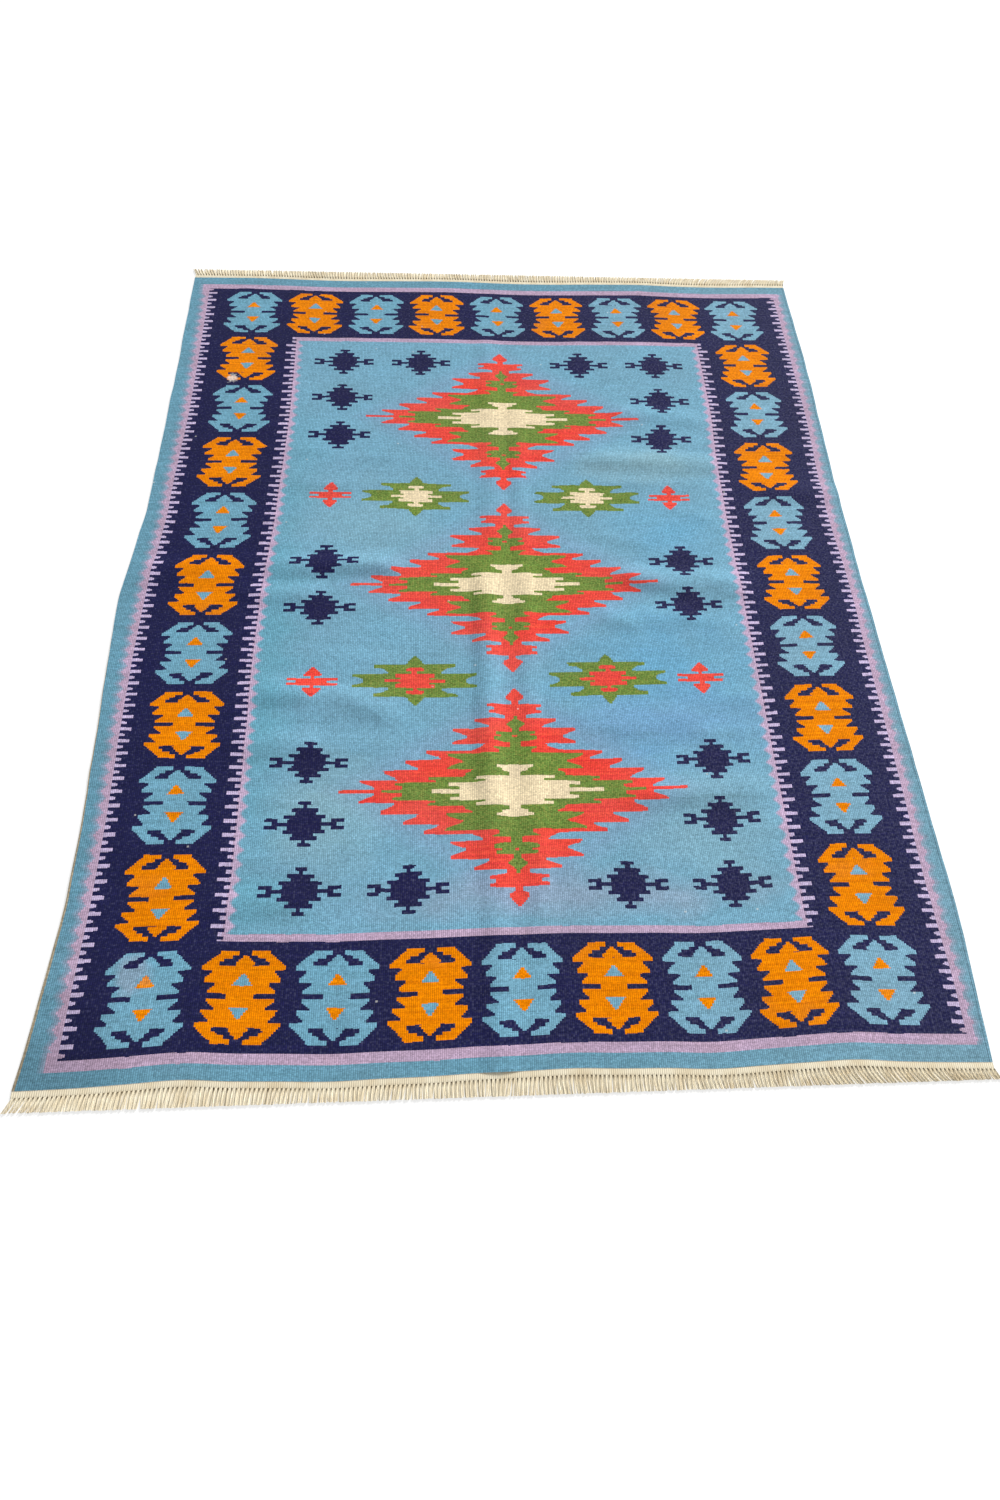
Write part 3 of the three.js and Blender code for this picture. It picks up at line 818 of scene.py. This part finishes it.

# Wear: a lilac-grey stain on the turtle of the near left corner, a rubbed white place
# on the left border, and lint. Also a tan left selvedge that is partly painted edge shade, and painted
# shade of a groove inside the right one.
STAIN_LILAC = (0.36, 0.34, 0.44, 1)
STAIN_RUST = (0.72, 0.30, 0.10, 1)
RUBBED_WHITE = (0.72, 0.68, 0.64, 1)
SELVEDGE_TAN_AND_SHADE = (0.42, 0.32, 0.19, 1)
GROOVE_SHADE = (0.04, 0.07, 0.10, 1)
LINT_GREY = (0.75, 0.73, 0.68, 1)
CLOTH_WIDTH = 1820.0
GROOVE_FROM, GROOVE_TO = 5.0, 7.2


def spot(at_x, at_y, radius, rim_scale):
    rim = speckle(running, rim_scale, rim_scale, seed=31.0, detail=3.0)
    return blot(running, (at_x, at_y), (radius, radius), rim, fray=1.6, firmness=1.8)


stained = all_of(spot(-188.0, -226.0, radius=11.0, rim_scale=0.12), minus(turtle, in_triangle), 0.36)
rusty = all_of(spot(-180.0, -229.0, radius=4.0, rim_scale=0.3), in_triangle, 0.5)
rubbed = all_of(spot(-188.5, 171.0, radius=4.5, rim_scale=0.5), 0.75)
cloth_colour = dye(stained, STAIN_LILAC, cloth_colour)
cloth_colour = dye(rusty, STAIN_RUST, cloth_colour)
cloth_colour = dye(rubbed, RUBBED_WHITE, cloth_colour)
share_across, share_along = map_place("OFBake")
from_left = times(share_across, CLOTH_WIDTH)
from_right = minus(CLOTH_WIDTH, from_left)
towards_near = calc("MAXIMUM", times(share_along, -2.2, 1.0), 0.0)
# The tan strip along the left selvedge is tan yarn and painted shade of the edge, wider towards the
# near end.
tan_and_shade_width = all_of(calc("MINIMUM", towards_near, 0.8), times(streak, 4.0, 4.4))
cloth_colour = dye(all_of(less(from_left, tan_and_shade_width), 0.85), SELVEDGE_TAN_AND_SHADE, cloth_colour)
# Painted shade: a dark line inside the right selvedge stands for the shade in a groove there.
cloth_colour = dye(all_of(between(GROOVE_FROM, from_right, GROOVE_TO), 0.45), GROOVE_SHADE, cloth_colour)
lint = scatter(calc("FLOOR", times(rib, 0.9)), calc("FLOOR", times(row_fine, 1.1)))
cloth_colour = dye(all_of(more(lint, 0.9999), 0.4), LINT_GREY, cloth_colour)

tinted = wool_nodes.new("ShaderNodeHueSaturation")
plug(tone, tinted.inputs["Value"])
plug(times(patch, 0.12, 0.95), tinted.inputs["Saturation"])
plug(times(streak, 0.018, 0.491), tinted.inputs["Hue"])
plug(cloth_colour, tinted.inputs["Color"])
wool_links.new(tinted.outputs[0], wool_shader.inputs["Base Color"])
wool_shader.inputs["Roughness"].default_value = 0.92
wool_shader.inputs["Specular IOR Level"].default_value = 0.04
wool_shader.inputs["Sheen Weight"].default_value = 0.015
wool_shader.inputs["Sheen Roughness"].default_value = 0.5

# Relief: round ribs along the warps, crossed by packed weft picks that meet in
# opposite slants on neighbouring ribs.
slant = times(from_nearest(rib_number, 2.0), 0.5)
pick = calc("SINE", times(times(row_fine, PICKS_PER_ROW, slant), 2 * math.pi))
relief = times(rib_arch, 0.7, times(pick, 0.12))
relief = plus(relief, times(speckle(running, 1.3, 2.2, seed=23.0), 0.3))
weave_bump = wool_nodes.new("ShaderNodeBump")
weave_bump.inputs["Strength"].default_value = 0.45
weave_bump.inputs["Distance"].default_value = 0.0012
plug(relief, weave_bump.inputs["Height"])
wool_links.new(weave_bump.outputs[0], wool_shader.inputs["Normal"])

cloth.data.materials.clear()
cloth.data.materials.append(wool)
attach(cloth, "root")
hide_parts("rug_cloth")

# Headings and fringe
# Past the pattern each end has a narrow heading woven in cream cotton. Beyond it the
# cotton warps run free in bunches, trimmed to a nearly straight line as a short fringe.
# Sizes are in millimetres, outwards from the end of the wool.
SEAM_GAP = 0.3
HEADING_DEPTH = 13
HEADING_TOP = 2.4
HEADING_BOTTOM = 0.6
EDGE_THINNING = 0.5
SCALLOP = 1.6
SCALLOP_ROOT = 1.8
BUNCHES = 224
CORD_TUCK = 1.6
TIP_LINE = 38
TRIM = 1.6
SWAY = 4.6
ROOT_HEIGHT = 1.25
CORD_RADIUS = 1.1
# The cords of one bunch: place across it, height over the floor, girth, and how much
# the cord lies in the shade of the others at its root and at its tip.
BUNCH = (
    {"place": 0.50, "height": 1.3, "girth": 1.45, "root_shade": 1.0, "tip_shade": 0.17},
    {"place": -0.31, "height": 2.0, "girth": 1.0, "root_shade": 0.06, "tip_shade": 0.0},
    {"place": 0.02, "height": 1.4, "girth": 1.05, "root_shade": 0.0, "tip_shade": 0.1},
    {"place": 0.31, "height": 2.1, "girth": 0.95, "root_shade": 0.06, "tip_shade": 0.0},
)
# Where a cord has its sections, as shares of its length.
CORD_SHARES = (0.0, 0.17, 0.34, 0.58, 0.8, 1.0)
CORD_SIDES = 5
# How far the tips lean to the right: between two places across, it grows by so much.
LEANS = (
    {"from": 100, "to": 450, "more": 4},
    {"from": 450, "to": 650, "more": 13},
    {"from": 720, "to": 880, "more": -9},
    {"from": -100, "to": -600, "more": -3},
    {"from": -820, "to": -925, "more": -8},
)
COTTON_DARK = (0.74, 0.63, 0.44, 1)
COTTON_PALE = (0.86, 0.78, 0.60, 1)
COTTON_SHADOW = (0.085, 0.06, 0.032, 1)
HEADING_SHADE = 0.12

cotton = bpy.data.materials.new("cream_cotton")
cotton.use_nodes = True
cotton_nodes = cotton.node_tree.nodes
cotton_links = cotton.node_tree.links
cotton_shader = cotton_nodes["Principled BSDF"]
cotton_place = cotton_nodes.new("ShaderNodeTexCoord")
cotton_mottle = cotton_nodes.new("ShaderNodeTexNoise")
cotton_mottle.inputs["Scale"].default_value = 32
cotton_mottle.inputs["Detail"].default_value = 5
cotton_links.new(cotton_place.outputs["Object"], cotton_mottle.inputs["Vector"])
cotton_tint = cotton_nodes.new("ShaderNodeValToRGB")
cotton_tint.color_ramp.elements[0].position = 0.3
cotton_tint.color_ramp.elements[0].color = COTTON_DARK
cotton_tint.color_ramp.elements[1].position = 0.6
cotton_tint.color_ramp.elements[1].color = COTTON_PALE
cotton_links.new(cotton_mottle.outputs["Fac"], cotton_tint.inputs[0])
cotton_shade = cotton_nodes.new("ShaderNodeAttribute")
cotton_shade.attribute_name = "shade"
cotton_mix = cotton_nodes.new("ShaderNodeMix")
cotton_mix.data_type = "RGBA"
cotton_links.new(cotton_shade.outputs["Fac"], cotton_mix.inputs[0])
cotton_links.new(cotton_tint.outputs[0], cotton_mix.inputs[6])
cotton_mix.inputs[7].default_value = COTTON_SHADOW
cotton_links.new(cotton_mix.outputs[2], cotton_shader.inputs["Base Color"])
cotton_shader.inputs["Roughness"].default_value = 0.9
cotton_shader.inputs["Specular IOR Level"].default_value = 0.15
cotton_ribs = cotton_nodes.new("ShaderNodeTexWave")
cotton_ribs.wave_type = "BANDS"
cotton_ribs.bands_direction = "X"
cotton_ribs.inputs["Scale"].default_value = 78.5
cotton_links.new(cotton_place.outputs["Object"], cotton_ribs.inputs["Vector"])
cotton_bump = cotton_nodes.new("ShaderNodeBump")
cotton_bump.inputs["Strength"].default_value = 0.6
cotton_bump.inputs["Distance"].default_value = 0.0007
cotton_links.new(cotton_ribs.outputs["Fac"], cotton_bump.inputs["Height"])
cotton_links.new(cotton_bump.outputs[0], cotton_shader.inputs["Normal"])


def shade_points(mesh, shades):
    # How much each point of the cotton lies in shade, from 0 to 1.
    mesh.attributes.new("shade", "FLOAT", "POINT").data.foreach_set("value", shades)


def woven_heading(name, side):
    wave = near_wave if side < 0 else far_wave
    edge = side * CLOTH_HALF_LENGTH
    left, right = across_at(-1, edge), across_at(1, edge)
    bpy.ops.object.select_all(action="DESELECT")
    bpy.ops.mesh.primitive_grid_add(x_subdivisions=4 * BUNCHES, y_subdivisions=5, size=2)
    heading = bpy.context.active_object
    heading.name = name
    for vertex in heading.data.vertices:
        share = (vertex.co.y + 1) / 2 if side > 0 else (1 - vertex.co.y) / 2
        across = (vertex.co.x + 1) / 2
        x = left + (right - left) * across
        # The free edge is drawn into small scallops, one for each bunch of cords.
        drawn = SCALLOP * abs(math.sin(math.pi * across * BUNCHES)) - SCALLOP_ROOT
        out = SEAM_GAP + share * HEADING_DEPTH + drawn * ease(0.5, 1, share)
        top = HEADING_TOP - EDGE_THINNING * ease(0.75, 1, share)
        vertex.co = to_frame(x, edge + side * (wave(x) + out), top)
    give_thickness(heading, HEADING_TOP - HEADING_BOTTOM)
    heading.data.materials.clear()
    heading.data.materials.append(cotton)
    shade_points(heading.data, [HEADING_SHADE] * len(heading.data.vertices))
    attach(heading, "root")
    return heading


def uneven(index, phase):
    # A little different for each cord or bunch, and for each thing that varies.
    return noise.noise(Vector((index * 0.73, phase, 0.37 * phase)))


def cord_ring(strand, number, share, middle, pitch, lean):
    # Middle, radius and shade of one cord's section, at a share of the way to its tip.
    # The cords of a bunch start close together. The one between two bunches doesn't.
    gather = 1 if strand["place"] == 0.5 else 0.58 + 0.42 * min(share * 2.6, 1)
    x = middle + strand["place"] * gather * pitch + lean * share ** 1.3
    # They rise from the heading to their own height, sink a little towards their tips,
    # fray thicker on the way, and never dip into the floor.
    rise = min(share * 4, 1)
    z = ROOT_HEIGHT * (1 - rise) + strand["height"] * rise * (1 - 0.25 * share)
    thick = CORD_RADIUS * strand["girth"] * (0.96 + 0.3 * min(share * 2, 1))
    z = max(z + 0.3 * uneven(number + 9 * share, 6.0), thick)
    shade = strand["root_shade"] + (strand["tip_shade"] - strand["root_shade"]) * min(share * 3, 1)
    shade += 0.42 * max(uneven(number, 8.0), 0)
    return x, z, thick, max(shade, 0)


def warp_cords(name, side):
    wave = near_wave if side < 0 else far_wave
    edge = side * CLOTH_HALF_LENGTH
    left, right = across_at(-1, edge), across_at(1, edge)
    pitch = (right - left) / BUNCHES
    start = HEADING_DEPTH - CORD_TUCK
    points, faces, shades = [], [], []
    for bunch in range(BUNCHES):
        middle = left + pitch * (bunch + 0.5)
        bunch_lean = 6 * noise.noise(Vector((bunch / 13, side, 2.0))) + 5 * uneven(bunch, 3.1)
        bunch_lean += sum(lean["more"] * ease(lean["from"], lean["to"], middle) for lean in LEANS)
        for cord, strand in enumerate(BUNCH):
            number = bunch * len(BUNCH) + cord
            length = TIP_LINE + TRIM * uneven(number, 1.3) - start
            cord_lean = bunch_lean + SWAY * uneven(number, 4.9)
            first = len(points)
            for share in CORD_SHARES:
                x, z, thick, shade = cord_ring(strand, number, share, middle, pitch, cord_lean)
                y = edge + side * (start + wave(middle) * (1 - share) + length * share)
                for k in range(CORD_SIDES):
                    angle = 2 * math.pi * (k + 0.25 * (cord % 3)) / CORD_SIDES
                    points.append(to_frame(x + thick * math.cos(angle), y, z + thick * math.sin(angle)))
                    shades.append(shade)
            for ring in range(len(CORD_SHARES) - 1):
                for k in range(CORD_SIDES):
                    a = first + ring * CORD_SIDES + k
                    b = first + ring * CORD_SIDES + (k + 1) % CORD_SIDES
                    faces.append((a, b, b + CORD_SIDES, a + CORD_SIDES))
            last = first + (len(CORD_SHARES) - 1) * CORD_SIDES
            faces.append(tuple(range(first, first + CORD_SIDES)))
            faces.append(tuple(range(last, last + CORD_SIDES)))
    mesh = bpy.data.meshes.new(name)
    mesh.from_pydata(points, [], faces)
    shade_points(mesh, shades)
    cords = bpy.data.objects.new(name, mesh)
    bpy.context.scene.collection.objects.link(cords)
    bpy.ops.object.select_all(action="DESELECT")
    cords.select_set(True)
    bpy.context.view_layer.objects.active = cords
    bpy.ops.object.mode_set(mode="EDIT")
    bpy.ops.mesh.select_all(action="SELECT")
    bpy.ops.mesh.normals_make_consistent(inside=False)
    bpy.ops.object.mode_set(mode="OBJECT")
    bpy.ops.object.shade_smooth_by_angle(angle=math.radians(60))
    cords.data.materials.append(cotton)
    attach(cords, "root")
    return cords


heading_near = woven_heading("heading_near", -1)
cords_near = warp_cords("cords_near", -1)
heading_far = woven_heading("heading_far", 1)
cords_far = warp_cords("cords_far", 1)
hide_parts("fringe_near")
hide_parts("fringe_far")
